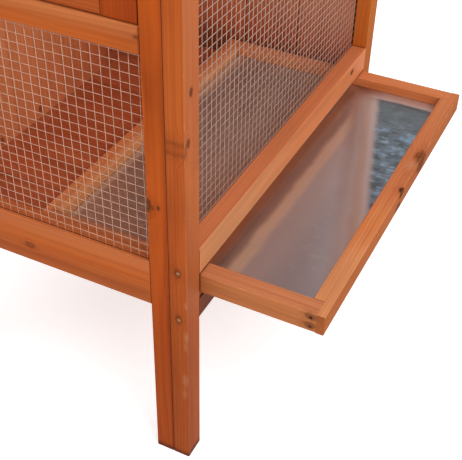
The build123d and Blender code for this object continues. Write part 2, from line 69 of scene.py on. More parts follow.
# Wires, staples, nails and screws, with lengths in metres or in shares of a rail, board or head
MESH_PITCH = 0.0122
NET_SELVEDGE = 0.0022
WIRE_RADIUS = 0.00042
WIRE_LAYER = 0.0003
WIRE_SIDES = 6
WIRE_SPANS = 16
WIRE_WAVER = 0.00022
WIRE_WAVER_DEEP = 0.2 * WIRE_WAVER
WIRE_SWING = 9.0
WIRE_SWING_DEEP = 14.0
STAPLE_CROWN = 0.010
STAPLE_BEND = 0.12 * STAPLE_CROWN
STAPLE_RADIUS = 0.0005
STAPLE_STEP = 0.075
STAPLE_LEG = 0.003
CLOUT_RADIUS = 0.0036
CLOUT_STEP = 0.062
CLOUT_INSET = 0.014
CLOUT_RISE = 0.0009
PIN_RADIUS = 0.0016
PIN_RISE = 0.00035
PIN_LEVEL = 0.5
PIN_LEVEL_OVER_TRAY = 0.85
PIN_SHARES = (0.22, 0.78)
HEAD_SIDES = 12
HEAD_PROFILE = ((1.0, -1.0), (1.0, 0.25), (0.8, 0.8), (0.0, 1.0))
SCREW_SIDES = 24
SCREW_SUNK = 0.0014
RECESS_ARM = 0.56
RECESS_SLOT = 0.15
RECESS_DEPTH = 0.38
RECESS_TAPER = 0.55
SHARP_ANGLE = math.radians(40)
SAME_POINT = 1e-6
SAME_PLANE = 1e-5

# Sockets of the Mix node that deal with colours
MIX_SHARE, MIX_UNDER, MIX_OVER = 0, 6, 7
MIX_RESULT = 2


# Materials


class Graph:
    """Shader nodes in the making, with short names for the ones that are needed."""

    def __init__(self, tree):
        self.tree = tree

    def feed(self, socket, value):
        """Sets a socket, or links it where the value is another node's output."""
        if isinstance(value, bpy.types.NodeSocket):
            self.tree.links.new(value, socket)
        else:
            socket.default_value = value

    def node(self, kind, inputs, **settings):
        """A node's outputs, with its inputs given by name or by number."""
        made = self.tree.nodes.new(kind)
        for key, value in settings.items():
            setattr(made, key, value)
        for key, value in inputs.items():
            self.feed(made.inputs[key], value)
        return made.outputs

    def calc(self, operation, *values):
        return self.node("ShaderNodeMath", dict(enumerate(values)), operation=operation)[0]

    def plus(self, value, other):
        return self.calc("ADD", value, other)

    def times(self, value, other):
        return self.calc("MULTIPLY", value, other)

    def vector(self, operation, *values):
        made = self.node("ShaderNodeVectorMath", dict(enumerate(values)), operation=operation)
        return made["Value" if operation in ("LENGTH", "DOT_PRODUCT") else "Vector"]

    def join(self, x, y, z):
        return self.node("ShaderNodeCombineXYZ", {"X": x, "Y": y, "Z": z})[0]

    def split(self, value):
        return self.node("ShaderNodeSeparateXYZ", {"Vector": value})

    def chance(self, value):
        """A random value and a random colour for each whole number."""
        return self.node("ShaderNodeTexWhiteNoise", {"W": value}, noise_dimensions="1D")

    def noise(self, place, scale, detail=2.0, output="Fac"):
        """Soft random spots over a place, as a value from 0 to 1, or as three with the output Color."""
        inputs = {"Vector": place, "Scale": scale, "Detail": detail}
        return self.node("ShaderNodeTexNoise", inputs)[output]

    def drawn_out(self, place, scales, detail=2.0, output="Fac"):
        """Soft random spots with a scale for each axis."""
        return self.noise(self.vector("MULTIPLY", place, scales), 1.0, detail, output)

    def fade(self, value, start, end):
        """0 at the start and 1 at the end, with a smooth step between."""
        ends = {"Value": value, "From Min": start, "From Max": end}
        return self.node("ShaderNodeMapRange", ends, interpolation_type="SMOOTHSTEP")["Result"]

    def span(self, value, low, high):
        """Spreads a value from 0 to 1 over a range."""
        return self.node("ShaderNodeMapRange", {"Value": value, "To Min": low, "To Max": high})["Result"]

    def blend(self, share, under, over, mode="MIX"):
        """A colour with a share of another over it."""
        under, over = ((*color, 1.0) if isinstance(color, tuple) else color for color in (under, over))
        inputs = {MIX_SHARE: share, MIX_UNDER: under, MIX_OVER: over}
        return self.node("ShaderNodeMix", inputs, data_type="RGBA", blend_type=mode)[MIX_RESULT]

    def patch(self, value, patch, under):
        """A colour with a patch over it where a value lies past the patch's edges."""
        return self.blend(self.times(self.fade(value, *patch.edges), patch.share), under, patch.tone)


class Paint(Graph):
    """A material in the making, with the places and faces of the piece that wears it."""

    def __init__(self, name):
        self.material = bpy.data.materials.new(name)
        self.material.use_nodes = True
        super().__init__(self.material.node_tree)
        self.shader = self.tree.nodes["Principled BSDF"]
        spot = self.node("ShaderNodeTexCoord", {})
        self.place = spot["Object"]
        self.normal = spot["Normal"]

    def bump(self, height, strength, distance):
        inputs = {"Height": height, "Strength": strength, "Distance": distance}
        self.feed(self.shader.inputs["Normal"], self.node("ShaderNodeBump", inputs)["Normal"])

    def finish(self, color, roughness, specular, metallic=0.0):
        self.feed(self.shader.inputs["Base Color"], color)
        self.feed(self.shader.inputs["Roughness"], roughness)
        self.feed(self.shader.inputs["Specular IOR Level"], specular)
        self.feed(self.shader.inputs["Metallic"], metallic)
        return self.material


CAST_GRAIN = 0.78

# A spike knot lies along an axis. A cast is colour that grows in along an axis, on all faces or on those
# that look along one; a few casts are stain, most are painted light and shade. A patch grows in between
# the edges of a pattern, up to a share.
Tone = namedtuple("Tone", "light dark deep worn")
Knot = namedtuple("Knot", "point radius core rim spike", defaults=(0.9, 0.6, None))
Scuff = namedtuple("Scuff", "point radius share")
Cast = namedtuple("Cast", "tone axis start end share face grain", defaults=(None, CAST_GRAIN))
Patch = namedtuple("Patch", "edges tone share", defaults=(1.0,))
ScrewHead = namedtuple("ScrewHead", "point outward head shank length")

ORANGE = Tone((0.52, 0.130, 0.028), (0.33, 0.062, 0.010), (0.110, 0.020, 0.004), (0.62, 0.25, 0.10))
RUSSET = Tone((0.48, 0.108, 0.018), (0.31, 0.054, 0.007), (0.108, 0.018, 0.003), (0.61, 0.23, 0.085))
RED = Tone((0.47, 0.087, 0.008), (0.30, 0.046, 0.004), (0.105, 0.016, 0.003), (0.60, 0.21, 0.07))
DULL_RED = Tone((0.43, 0.094, 0.019), (0.28, 0.048, 0.008), (0.100, 0.016, 0.003), (0.54, 0.18, 0.06))
DEEP_RED = Tone((0.36, 0.057, 0.005), (0.23, 0.032, 0.003), (0.090, 0.013, 0.002), (0.48, 0.14, 0.04))
SHADED = Tone((0.18, 0.042, 0.010), (0.11, 0.022, 0.004), (0.040, 0.008, 0.002), (0.24, 0.08, 0.03))
PALE = Tone((0.50, 0.160, 0.050), (0.34, 0.082, 0.020), (0.125, 0.026, 0.006), (0.66, 0.29, 0.13))
FADED = Tone((0.67, 0.235, 0.084), (0.47, 0.128, 0.036), (0.200, 0.046, 0.012), (0.72, 0.35, 0.17))
BOARD = Tone((0.55, 0.148, 0.056), (0.34, 0.072, 0.024), (0.105, 0.022, 0.008), (0.66, 0.26, 0.13))
BEECH = Tone((0.62, 0.36, 0.18), (0.44, 0.23, 0.10), (0.20, 0.09, 0.04), (0.66, 0.42, 0.24))
KNOT_WOOD = (0.120, 0.028, 0.005)
KNOT_RIM = (0.055, 0.013, 0.003)
BARE_WOOD = (0.66, 0.41, 0.26)
# Painted shade that darkens the legs towards the ground
FOOT_SHADE_TINT = (0.74, 0.68, 0.56)
RED_TINT = (1.0, 0.80, 0.72)

# Tree and growth rings
TREE_REACH = (0.025, 0.075)
TREE_ALONG = (1, 9)
TREE_TILT = 0.018
BOARD_SHIFTS = ((-0.05, 0.05), (-0.03, 0.06), (0, 5))
RING_STEP = 0.0046
RING_WARP = 0.011
LATE_RISE = (0.25, 0.93)
LATE_FALL = (1.0, 0.94)
LATE_STRENGTH = (0.35, 1.0)

# Scales of the grain's patterns, across and along it, and how far each darkens the stain
WARP_SCALES = (9, 9, 2.2)
FIBRE_SCALES = (820, 820, 15)
STREAK_SCALES = (105, 105, 1.7)
BAND_SCALES = (290, 290, 2.6)
BLOTCH_SCALES = (17, 17, 5)
HUE_SCALES = (20, 20, 6)
FIBRE_DEPTH = (-0.16, 0.16)
STREAK_DEPTH = (-0.45, 0.75)
BAND_DEPTH = (-0.34, 0.42)
BLOTCH_DEPTH = (-0.24, 0.24)
LATE_DEPTH = 0.40
BOARD_DEPTH = 0.5
MIDDLE_SHADE = 0.5
DEEP_EDGES = (0.52, 0.78)
DEEP_SHARE = 0.26
HUE_EDGES = (0.42, 0.66)
HUE_SHARE = 0.40

# Knots, with their edges in radii, and the painted shade round screws
KNOT_STRETCH = 0.62
KNOT_BEND_EDGES = (3.0, 0.6)
KNOT_CORE_EDGES = (1.50, 0.35)
KNOT_RIM_INSIDE = (0.35, 0.80)
KNOT_RIM_OUTSIDE = (1.35, 0.85)
KNOT_BEND_RINGS = 2.6
KNOT_BEND_SHARE = 0.18
RAGGED_SCALE = 130.0
RAGGED_REACH = (0.66, 1.34)
BOARD_KNOT_STEP = 0.29
BOARD_KNOT_INSET = 0.22
BOARD_KNOT_RADII = (0.0020, 0.0048)
BOARD_KNOT_SHARE = 0.35
BOARD_KNOT_CORE = 0.55
BOARD_KNOT_RIM = 0.35
NO_KNOT = 9.0
CHANCE_KNOTS = (0, 2)
CHANCE_KNOT_RADII = (0.0025, 0.0055)
# Painted shade of the holes round screw heads, set a little above each head
HOLE_SHADE_RADIUS = 0.0046
HOLE_SHADE_RISE = Vector((0, 0, 0.0018))
HOLE_SHADE_CORE = 0.50
HOLE_SHADE_RIM = 0.25

# End grain, worn edges, scuffs, dirt and painted shade at the feet, stain and painted shade in the
# joints, and the wood's surface
END_EDGES = (0.75, 0.95)
END_SHARE = (0.42, 0.88)
EDGE_TURN = (0.97, 0.80)
EDGE_OPEN = (0.75, 0.97)
WEAR_SCALE = 75.0
WEAR_EDGES = (0.48, 0.68)
WEAR_SHARE = (0.08, 0.50)
SCUFF_STRETCH = 0.36
SCUFF_FIBRE = (0.1, 1.3)
FOOT_DIRT = 0.007
FOOT_DIRT_SHARE = 0.85
FOOT_SHADE = (0.48, 0.16)
# Stain and painted shade gathered in joints, corners and recesses, found by ambient occlusion
JOINT_REACH = 0.004
JOINT_EDGES = (0.88, 0.42)
JOINT_STAIN_AND_SHADE = 0.88
LATE_GROOVES = 0.5
WOOD_ROUGHNESS = (0.46, 0.66)
WOOD_GLOSS = 0.07


class Timber(Paint):
    """Stained timber in the making, cut from a tree whose heart lies beside the piece."""

    def __init__(self, name, piece, tone, grain, board_axis):
        super().__init__(name)
        self.piece = piece
        self.tone = tone
        self.grain = grain
        self.board_axis = board_axis
        self.color = tone.light
        self.facing = [self.calc("ABSOLUTE", part) for part in self.split(self.normal)]
        self.ragged = self.span(self.noise(self.place, RAGGED_SCALE), *RAGGED_REACH)
        dice = random.Random(name)
        self.from_heart, self.shade = self.cut_of_tree(dice)
        self.tilt = dice.uniform(-TREE_TILT, TREE_TILT)
        self.cut = self.join(*self.from_heart)
        self.fibre = self.drawn_out(self.cut, FIBRE_SCALES)
        self.blotch = self.drawn_out(self.cut, BLOTCH_SCALES, detail=3.0)
        # How open each place is, from ambient occlusion: it keeps wear off the hollows, and dark_joints
        # lays painted shade in them
        self.open = self.node("ShaderNodeAmbientOcclusion", {"Distance": JOINT_REACH}, samples=8)["AO"]

    def cut_of_tree(self, dice):
        """Distances from the heart of the tree, across and along the grain, and how dark the timber is.
        Each board of a wall is another cut of the tree."""
        low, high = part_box(self.piece)
        across = [axis for axis in range(3) if axis != self.grain]
        heart = (low + high) / 2
        turn = dice.uniform(0, 2 * math.pi)
        reach = dice.uniform(*TREE_REACH)
        heart[across[0]] += reach * math.cos(turn)
        heart[across[1]] += reach * math.sin(turn)
        heart[self.grain] += dice.uniform(*TREE_ALONG)
        parts = self.split(self.vector("SUBTRACT", self.place, heart))
        found = [parts[axis] for axis in (*across, self.grain)]
        if self.board_axis is None:
            return found, MIDDLE_SHADE
        first, pitch = board_pitch(self.piece, self.board_axis)
        cell = self.calc("SUBTRACT", self.split(self.place)[self.board_axis], first)
        chance = self.chance(self.calc("FLOOR", self.calc("DIVIDE", cell, pitch)))
        shares = self.split(chance["Color"])
        shifts = [self.span(share, *reach) for share, reach in zip(shares, BOARD_SHIFTS)]
        return [self.plus(*pair) for pair in zip(found, shifts)], chance["Value"]

    def stretched(self, point, share):
        """The way from a point to the place, with a share of what lies along the grain."""
        stretch = [1.0, 1.0, 1.0]
        stretch[self.grain] = share
        return self.vector("MULTIPLY", self.vector("SUBTRACT", self.place, point), stretch)

    def from_knot(self, knot):
        """How far the place is from a knot, in radii. A spike knot shows as a band."""
        offset = self.stretched(knot.point, KNOT_STRETCH)
        if knot.spike is not None:
            offset = self.vector("MULTIPLY", offset, Vector((1, 1, 1)) - unit(knot.spike))
        return self.calc("DIVIDE", self.vector("LENGTH", offset), knot.radius)

    def from_board_knot(self):
        """How far the place on a wall of boards is from the nearest knot. Some lengths have none."""
        first, pitch = board_pitch(self.piece, self.board_axis)
        parts = self.split(self.place)
        row = self.calc("SUBTRACT", parts[self.board_axis], first + BOARD_KNOT_INSET * pitch)
        column = self.calc("DIVIDE", parts[self.grain], BOARD_KNOT_STEP)
        spot = self.join(self.calc("DIVIDE", row, pitch), column, 0.0)
        inputs = {"Vector": spot, "Scale": 1.0, "Randomness": 1.0 - 2.0 * BOARD_KNOT_INSET}
        cells = self.node("ShaderNodeTexVoronoi", inputs, voronoi_dimensions="2D")
        size = (pitch, KNOT_STRETCH * BOARD_KNOT_STEP, 0.0)
        offset = self.vector("MULTIPLY", self.vector("SUBTRACT", cells["Position"], spot), size)
        chance = self.split(cells["Color"])
        radius = self.span(chance[0], *BOARD_KNOT_RADII)
        far = self.calc("DIVIDE", self.vector("LENGTH", offset), radius)
        none = self.calc("GREATER_THAN", chance[1], BOARD_KNOT_SHARE)
        return self.calc("MULTIPLY_ADD", none, NO_KNOT, far)

    def knot_marks(self, far, core, rim):
        """Shares of wood that bends round a knot, of the knot's own wood and of its dark rim."""
        far = self.times(far, self.ragged)
        bend = self.fade(far, *KNOT_BEND_EDGES)
        heart = self.times(self.fade(far, *KNOT_CORE_EDGES), core)
        edge = self.times(self.fade(far, *KNOT_RIM_INSIDE), self.fade(far, *KNOT_RIM_OUTSIDE))
        return bend, heart, self.times(edge, rim)

    def find_knots(self, knots):
        """The marks of all the knots together: bent wood, knot wood and dark rims."""
        found = [self.knot_marks(self.from_knot(knot), knot.core, knot.rim) for knot in knots]
        if self.board_axis is not None:
            found.append(self.knot_marks(self.from_board_knot(), BOARD_KNOT_CORE, BOARD_KNOT_RIM))
        together = (0.0, 0.0, 0.0)
        for marks in found:
            together = [self.calc("MAXIMUM", *pair) for pair in zip(together, marks)]
        return together

    def late_wood(self, bend):
        """The dark part of each growth ring. The rings waver, and bend round the knots."""
        side, rise, along = self.from_heart
        warp = self.split(self.drawn_out(self.cut, WARP_SCALES, output="Color"))
        side = self.calc("MULTIPLY_ADD", along, self.tilt, side)
        side = self.plus(side, self.span(warp[0], -RING_WARP, RING_WARP))
        rise = self.plus(rise, self.span(warp[1], -RING_WARP, RING_WARP))
        phase = self.calc("DIVIDE", self.vector("LENGTH", self.join(side, rise, 0.0)), RING_STEP)
        phase = self.calc("MULTIPLY_ADD", bend, KNOT_BEND_RINGS, phase)
        ring = self.calc("FRACT", phase)
        late = self.times(self.fade(ring, *LATE_RISE), self.fade(ring, *LATE_FALL))
        strength = self.chance(self.calc("FLOOR", phase))["Value"]
        return self.times(late, self.span(strength, *LATE_STRENGTH))

    def stain_depth(self, late):
        """How dark the stain is, from the patterns of the grain and the shade of the board."""
        streak = self.drawn_out(self.cut, STREAK_SCALES, detail=3.0)
        band = self.drawn_out(self.cut, BAND_SCALES)
        depth = self.calc("MULTIPLY_ADD", late, LATE_DEPTH, self.span(streak, *STREAK_DEPTH))
        depth = self.plus(depth, self.span(self.blotch, *BLOTCH_DEPTH))
        depth = self.plus(depth, self.span(band, *BAND_DEPTH))
        depth = self.plus(depth, self.span(self.fibre, *FIBRE_DEPTH))
        middle = self.calc("SUBTRACT", depth, BOARD_DEPTH * MIDDLE_SHADE)
        return self.calc("MULTIPLY_ADD", self.shade, BOARD_DEPTH, middle)

    def lay(self, share, over, mode="MIX"):
        """Lays a share of a colour over what there is."""
        self.color = self.blend(share, self.color, over, mode)

    def stain(self, depth):
        """The timber's own stain, with deeper blotches and redder spots."""
        self.lay(depth, self.tone.dark)
        self.lay(self.times(self.fade(self.blotch, *DEEP_EDGES), DEEP_SHARE), self.tone.deep)
        hue = self.fade(self.drawn_out(self.cut, HUE_SCALES, detail=3.0), *HUE_EDGES)
        self.lay(self.times(hue, HUE_SHARE), RED_TINT, "MULTIPLY")

    def cast(self, cast, depth):
        """A cast of lighter or darker colour, with the grain in it; most casts are painted light and
        shade, a few are stain.
        """
        share = self.fade(self.split(self.place)[cast.axis], cast.start, cast.end)
        share = self.times(share, cast.share)
        if cast.face is not None:
            share = self.times(share, self.facing[cast.face])
        grained = self.blend(depth, cast.tone, tuple(cast.grain * part for part in cast.tone))
        self.lay(share, grained)

    def dark_knots(self, bend, core, rim):
        self.lay(self.times(bend, KNOT_BEND_SHARE), self.tone.deep)
        self.lay(core, KNOT_WOOD)
        self.lay(rim, KNOT_RIM)

    def dark_ends(self):
        """End grain, which takes more stain."""
        end = self.fade(self.facing[self.grain], *END_EDGES)
        self.lay(self.times(end, self.span(self.fibre, *END_SHARE)), self.tone.deep)

    def worn_edges(self):
        """Rounded edges of squared timber, worn in spots."""
        flat = self.calc("MAXIMUM", self.calc("MAXIMUM", *self.facing[:2]), self.facing[2])
        edge = self.times(self.fade(flat, *EDGE_TURN), self.fade(self.open, *EDGE_OPEN))
        wear = self.fade(self.noise(self.place, WEAR_SCALE, detail=4.0), *WEAR_EDGES)
        self.lay(self.times(edge, self.span(wear, *WEAR_SHARE)), self.tone.worn)

    def bare_scuff(self, scuff):
        """A spot where the stain is scraped off along the grain."""
        far = self.times(self.vector("LENGTH", self.stretched(scuff.point, SCUFF_STRETCH)), self.ragged)
        bare = self.times(self.fade(far, scuff.radius, 0.0), self.span(self.fibre, *SCUFF_FIBRE))
        self.lay(self.times(bare, scuff.share), BARE_WOOD)

    def dark_foot(self):
        """A leg darkened by painted shade towards the ground, and dirty at its end."""
        height = self.split(self.place)[Z]
        self.lay(self.fade(height, *FOOT_SHADE), FOOT_SHADE_TINT, "MULTIPLY")
        splash = self.calc("MULTIPLY_ADD", self.blotch, -2.0 * FOOT_DIRT, height)
        dirt = self.fade(splash, FOOT_DIRT, -0.5 * FOOT_DIRT)
        self.lay(self.times(dirt, FOOT_DIRT_SHARE), self.tone.deep)

    def dark_joints(self, share):
        """Stain that gathers in the joints, and painted shade in corners and recesses, from ambient
        occlusion.
        """
        self.lay(self.times(self.fade(self.open, *JOINT_EDGES), share), self.tone.deep)


def board_pitch(node, board_axis):
    """Where the boards of a wall start, and the step from one to the next."""
    boards = sorted(box[0][board_axis] for box in islands(node))
    return boards[0], boards[1] - boards[0]


# Tray sheet, by how far out a place lies and how far past the line where the painted dark reflection
# starts
# The line between the painted reflection of the cabinet and the painted dark reflection, with painted
# reflection bands along it
REFLECTION_LINE = (Vector((0.2079, 0.2612, 0.0)), Vector((0.3007, -0.0582, 0.0)))
REFLECTION_LINE_BANDS = (
    Patch((-0.050, -0.028), (0.45, 0.370, 0.353)),
    Patch((-0.026, -0.013), (0.43, 0.278, 0.230)),
    Patch((-0.009, -0.003), (0.44, 0.318, 0.288)),
)
DARK_REFLECTION_EDGE = (-0.002, 0.010)
REFLECTION_TILT = (1.0, -0.012, 0.0)
# Bands by how far out they lie: painted reflections of the cabinet's side and rail, and painted light
# where the rail shades the sheet
PAINTED_REFLECTION_AND_LIGHT_BANDS = (
    Patch((-0.042, -0.050), (0.66, 0.54, 0.43)),
    Patch((0.155, 0.161), (0.80, 0.48, 0.28)),
    Patch((0.163, 0.171), (0.66, 0.48, 0.37)),
    Patch((0.171, 0.179), (0.36, 0.322, 0.332)),
    Patch((0.184, 0.195), (0.73, 0.70, 0.635)),
    Patch((0.196, 0.202), (0.78, 0.745, 0.68)),
    Patch((0.203, 0.212), (0.61, 0.62, 0.66)),
    Patch((0.224, 0.272), (0.455, 0.47, 0.51)),
)
FILM_SMEAR = Patch((0.45, 0.80), (0.46, 0.42, 0.40), 0.22)
FILM_SPECKS = Patch((0.54, 0.70), (0.66, 0.68, 0.70), 0.20)
LITTER = (0.465, 0.395, 0.342)
LITTER_SMEAR = Patch((0.35, 0.75), (0.353, 0.290, 0.240))
LITTER_EDGE = (0.168, 0.148)
LITTER_FRONT = (0.06, -0.10)
LITTER_TINT = (1.05, 0.90, 0.80)
LITTER_DULL = 0.26
# Painted dark reflection past the line, mottled and bluish, darker at the far end, with the zinc's
# spangles
DARK_REFLECTION = (0.076, 0.090, 0.100)
DARK_REFLECTION_MOTTLE = Patch((0.32, 0.62), (0.150, 0.175, 0.210))
DARK_REFLECTION_BLUE = Patch((0.56, 0.72), (0.19, 0.285, 0.39))
FROST_SPANGLE = Patch((0.76, 1.00), (0.33, 0.44, 0.53), 0.42)
DARK_REFLECTION_FAR_END = Patch((0.14, 0.22), (0.112, 0.121, 0.126), 0.74)
# Dust along the back bar, with a painted reflection of the bar's inner face in it
BAR_DUST_AND_REFLECTION = (0.66, 0.58, 0.55)
BAR_STRIP_EDGE = (0.244, 0.252)
BAR_STRIP_OUT = (0.172, 0.225)
BAR_DUST_DULL = 0.20
SPANGLE_BEND = (0.010, 0.010, 0.010)
SPANGLE_SCALES = (95, 210, 100)
SMEAR_SCALES = (26, 7, 10)
MOTTLE_SCALES = (62, 74, 60)
SHEET_WANDER = 0.004
SHEET_METALLIC = 0.93
SHEET_DENTS = 0.08
SHEET_ROUGHNESS = (0.285, 0.36)


def sheet_dust_and_reflections(paint, out, past, smear, mottle):
    """Litter dust inside the cabinet, painted reflection and light bands with smears and specks outside
    it, and painted reflection bands along the line.
    """
    dust_and_reflections = paint.patch(smear, LITTER_SMEAR, LITTER)
    near_front = paint.fade(paint.split(paint.place)[Y], *LITTER_FRONT)
    dust_and_reflections = paint.blend(near_front, dust_and_reflections, paint.blend(1.0, dust_and_reflections, LITTER_TINT, "MULTIPLY"))
    for band in PAINTED_REFLECTION_AND_LIGHT_BANDS:
        dust_and_reflections = paint.patch(out, band, dust_and_reflections)
    dust_and_reflections = paint.patch(smear, FILM_SMEAR, dust_and_reflections)
    dust_and_reflections = paint.patch(mottle, FILM_SPECKS, dust_and_reflections)
    for band in REFLECTION_LINE_BANDS:
        dust_and_reflections = paint.patch(past, band, dust_and_reflections)
    return dust_and_reflections


def sheet_dark_reflection(paint, mottle):
    """Painted dark reflection on the zinc, mottled and bluish, with spangles, darker at the far end."""
    bend = paint.noise(paint.place, scale=60.0, output="Color")
    ragged = paint.vector("MULTIPLY_ADD", bend, SPANGLE_BEND, paint.place)
    ragged = paint.vector("MULTIPLY", ragged, SPANGLE_SCALES)
    crystal = paint.split(paint.node("ShaderNodeTexVoronoi", {"Vector": ragged, "Scale": 1.0})["Color"])
    dark_reflection = paint.patch(mottle, DARK_REFLECTION_MOTTLE, DARK_REFLECTION)
    dark_reflection = paint.patch(mottle, DARK_REFLECTION_BLUE, dark_reflection)
    dark_reflection = paint.patch(crystal[1], FROST_SPANGLE, dark_reflection)
    return paint.patch(paint.split(paint.place)[Y], DARK_REFLECTION_FAR_END, dark_reflection)


def galvanised_sheet(name):
    """Zinc on sheet, with litter dust and painted reflections up to a line and a painted dark reflection
    past it, and dust with a painted reflection along the back bar.
    """
    paint = Paint(name)
    smear = paint.drawn_out(paint.place, SMEAR_SCALES, detail=4.0)
    mottle = paint.drawn_out(paint.place, MOTTLE_SCALES, detail=5.0)
    wander = paint.noise(paint.place, scale=22.0, detail=3.0)
    wander = paint.span(wander, -SHEET_WANDER, SHEET_WANDER)
    out = paint.plus(paint.vector("DOT_PRODUCT", paint.place, REFLECTION_TILT), wander)
    ahead = (REFLECTION_LINE[1] - REFLECTION_LINE[0]).normalized()
    outward = Vector((-ahead.y, ahead.x, 0.0))
    past = paint.vector("DOT_PRODUCT", paint.vector("SUBTRACT", paint.place, REFLECTION_LINE[0]), outward)
    past = paint.plus(past, wander)

    dust_and_reflections = sheet_dust_and_reflections(paint, out, past, smear, mottle)
    color = paint.blend(paint.fade(past, *DARK_REFLECTION_EDGE), dust_and_reflections, sheet_dark_reflection(paint, mottle))
    bar_dust_and_reflection = paint.fade(paint.plus(paint.split(paint.place)[Y], wander), *BAR_STRIP_EDGE)
    bar_dust_and_reflection = paint.times(bar_dust_and_reflection, paint.fade(out, *BAR_STRIP_OUT))
    color = paint.blend(bar_dust_and_reflection, color, BAR_DUST_AND_REFLECTION)

    litter = paint.times(paint.fade(out, *LITTER_EDGE), LITTER_DULL)
    dull = paint.calc("MAXIMUM", litter, paint.times(bar_dust_and_reflection, BAR_DUST_DULL))
    metallic = paint.calc("SUBTRACT", SHEET_METALLIC, dull)
    dents = paint.calc("MULTIPLY_ADD", mottle, SHEET_DENTS, paint.noise(paint.place, scale=7.0))
    paint.bump(dents, strength=0.25, distance=0.003)
    return paint.finish(color, paint.span(smear, *SHEET_ROUGHNESS), specular=0.4, metallic=metallic)


ZINC_EDGES = (0.35, 0.68)
ZINC_DENTS = 0.6
ZINC_ROUGHNESS = (0.34, 0.60)


def zinc(name, bright, dull, metallic=0.75, specular=0.4):
    """Zinc-plated steel wire, screws and hinges, and iron nails, with dull spots."""
    paint = Paint(name)
    spots = paint.noise(paint.place, scale=160.0, detail=3.0)
    grit = paint.noise(paint.place, scale=1500.0)
    color = paint.patch(spots, Patch(ZINC_EDGES, dull), bright)
    paint.bump(paint.calc("MULTIPLY_ADD", spots, ZINC_DENTS, grit), strength=0.2, distance=0.0002)
    return paint.finish(color, paint.span(spots, *ZINC_ROUGHNESS), specular, metallic)


GRIT_SCALE = 620.0
GRIT_DARK = (0.018, 0.021, 0.020)
GRIT_LIGHT = (0.060, 0.066, 0.062)
GRIT_FLECKS = Patch((0.90, 0.98), (0.17, 0.175, 0.165))
FELT_CLOUDS = Patch((0.45, 0.75), (0.085, 0.088, 0.080), 0.35)
FELT_ROUGHNESS = (0.78, 0.96)


def felt(name):
    """Bitumen roofing felt with mineral grit, paler in clouds."""
    paint = Paint(name)
    grit = paint.node("ShaderNodeTexVoronoi", {"Vector": paint.place, "Scale": GRIT_SCALE})
    chance = paint.split(grit["Color"])
    cloud = paint.noise(paint.place, scale=7.0, detail=4.0)
    color = paint.blend(chance[0], GRIT_DARK, GRIT_LIGHT)
    color = paint.patch(chance[1], GRIT_FLECKS, color)
    color = paint.patch(cloud, FELT_CLOUDS, color)
    paint.bump(paint.calc("SUBTRACT", cloud, grit["Distance"]), strength=0.6, distance=0.0012)
    return paint.finish(color, paint.span(chance[2], *FELT_ROUGHNESS), specular=0.2)


# Meshes


def islands(node):
    """The lowest and highest corner and the points of each separate solid of a node."""
    shape = bmesh.new()
    shape.from_mesh(nodes[node].data)
    bmesh.ops.remove_doubles(shape, verts=shape.verts, dist=SAME_POINT)
    left = set(shape.verts)
    found = []
    while left:
        reached = [left.pop()]
        for vert in reached:
            for edge in vert.link_edges:
                other = edge.other_vert(vert)
                if other in left:
                    left.remove(other)
                    reached.append(other)
        points = [vert.co.copy() for vert in reached]
        low = Vector(min(point[axis] for point in points) for axis in range(3))
        high = Vector(max(point[axis] for point in points) for axis in range(3))
        found.append((low, high, points))
    shape.free()
    return sorted(found, key=lambda box: tuple(round(x, 5) for x in box[0]))


def point_at(*parts):
    """A point from pairs of an axis and the place along it."""
    point = Vector((0, 0, 0))
    for axis, value in parts:
        point[axis] = value
    return point


def unit(axis):
    return point_at((axis, 1.0))


def standing(point, outward):
    """A spot whose Z axis points outward."""
    return Matrix.Translation(point) @ outward.to_track_quat("Z", "Y").to_matrix().to_4x4()


def steps_round(count):
    return [2 * math.pi * i / count for i in range(count)]


def circle(radius, height, sides):
    """Points of a level circle about the Z axis."""
    return [Vector((radius * math.cos(t), radius * math.sin(t), height)) for t in steps_round(sides)]


